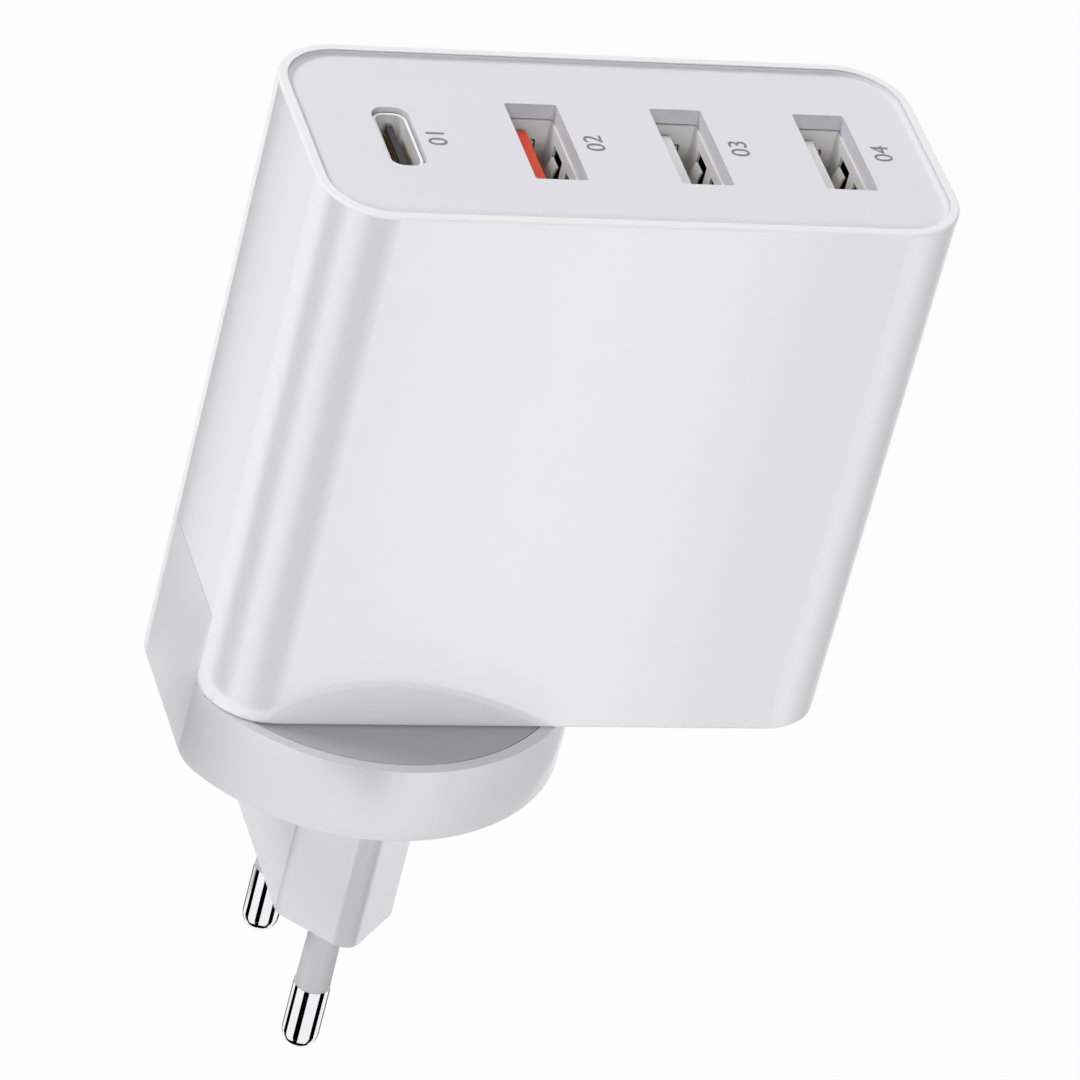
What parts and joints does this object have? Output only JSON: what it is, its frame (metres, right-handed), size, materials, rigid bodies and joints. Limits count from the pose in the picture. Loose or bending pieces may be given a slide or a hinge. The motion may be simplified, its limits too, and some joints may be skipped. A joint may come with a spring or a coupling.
{
  "type": "multi port fast charger",
  "caption": "Flat glossy white wall charger with a row of cable sockets in a recessed plate, on an offset round travel plug head with a pointed nose and round pins.",
  "frame": {"origin": "on the flat end of the plug nose, midway between the two round pins", "axes": "+X along the row of sockets, +Y from the front face to the back, +Z from the pins up to the sockets"},
  "size_m": [0.0671, 0.045, 0.1107],
  "materials": {
    "body_white": "high gloss",
    "plate_white": "satin",
    "head_white": "satin gloss",
    "socket_steel": "bright",
    "tongue_red": "satin",
    "tongue_white": "satin",
    "dark_plastic": "matte",
    "gold_contact": "bright",
    "board_green": "solder mask",
    "ferrite": "dull",
    "copper_wire": "enamelled",
    "capacitor_sleeve": "sleeve",
    "polymer_can": "satin",
    "yellow_case": "satin",
    "fuse_brown": "matte",
    "sink_aluminium": "satin",
    "blue_coat": "satin",
    "lead_brown": "matte",
    "lead_blue": "matte",
    "blade_brass": "bright",
    "pin_chrome": "mirror",
    "sleeve_grey": "satin"
  },
  "bodies": {
    "root": {"housing": "body_white", "port_plate": "plate_white", "oval_shell": "socket_steel", "oval_tongue": "dark_plastic", "oval_contacts": "gold_contact", "flat_shell_1": "socket_steel", "flat_shell_2": "socket_steel", "flat_shell_3": "socket_steel", "flat_tongue_1": "tongue_red", "flat_tongue_2": "tongue_white", "flat_tongue_3": "tongue_white", "flat_contacts_1": "gold_contact", "flat_contacts_2": "gold_contact", "flat_contacts_3": "gold_contact", "main_board": "board_green", "riser_board": "board_green", "core_half_upper": "ferrite", "core_half_lower": "ferrite", "bobbin": "dark_plastic", "winding": "copper_wire", "input_capacitor_left": "capacitor_sleeve", "input_capacitor_right": "capacitor_sleeve", "output_capacitors": "polymer_can", "choke_core": "ferrite", "choke_winding": "copper_wire", "line_capacitor": "yellow_case", "fuse": "fuse_brown", "bridge_rectifier": "dark_plastic", "power_transistor": "dark_plastic", "heat_sink": "sink_aluminium", "safety_capacitor": "blue_coat", "controller_chip": "dark_plastic", "port_chips": "dark_plastic", "live_lead": "lead_brown", "neutral_lead": "lead_blue", "inlet_blade_front": "blade_brass", "inlet_blade_back": "blade_brass", "head_base": "head_white", "head_cover": "head_white", "pin_front": "pin_chrome", "pin_back": "pin_chrome", "sleeve_front": "sleeve_grey", "sleeve_back": "sleeve_grey", "clip_front": "blade_brass", "clip_back": "blade_brass"}
  },
  "joints": []
}
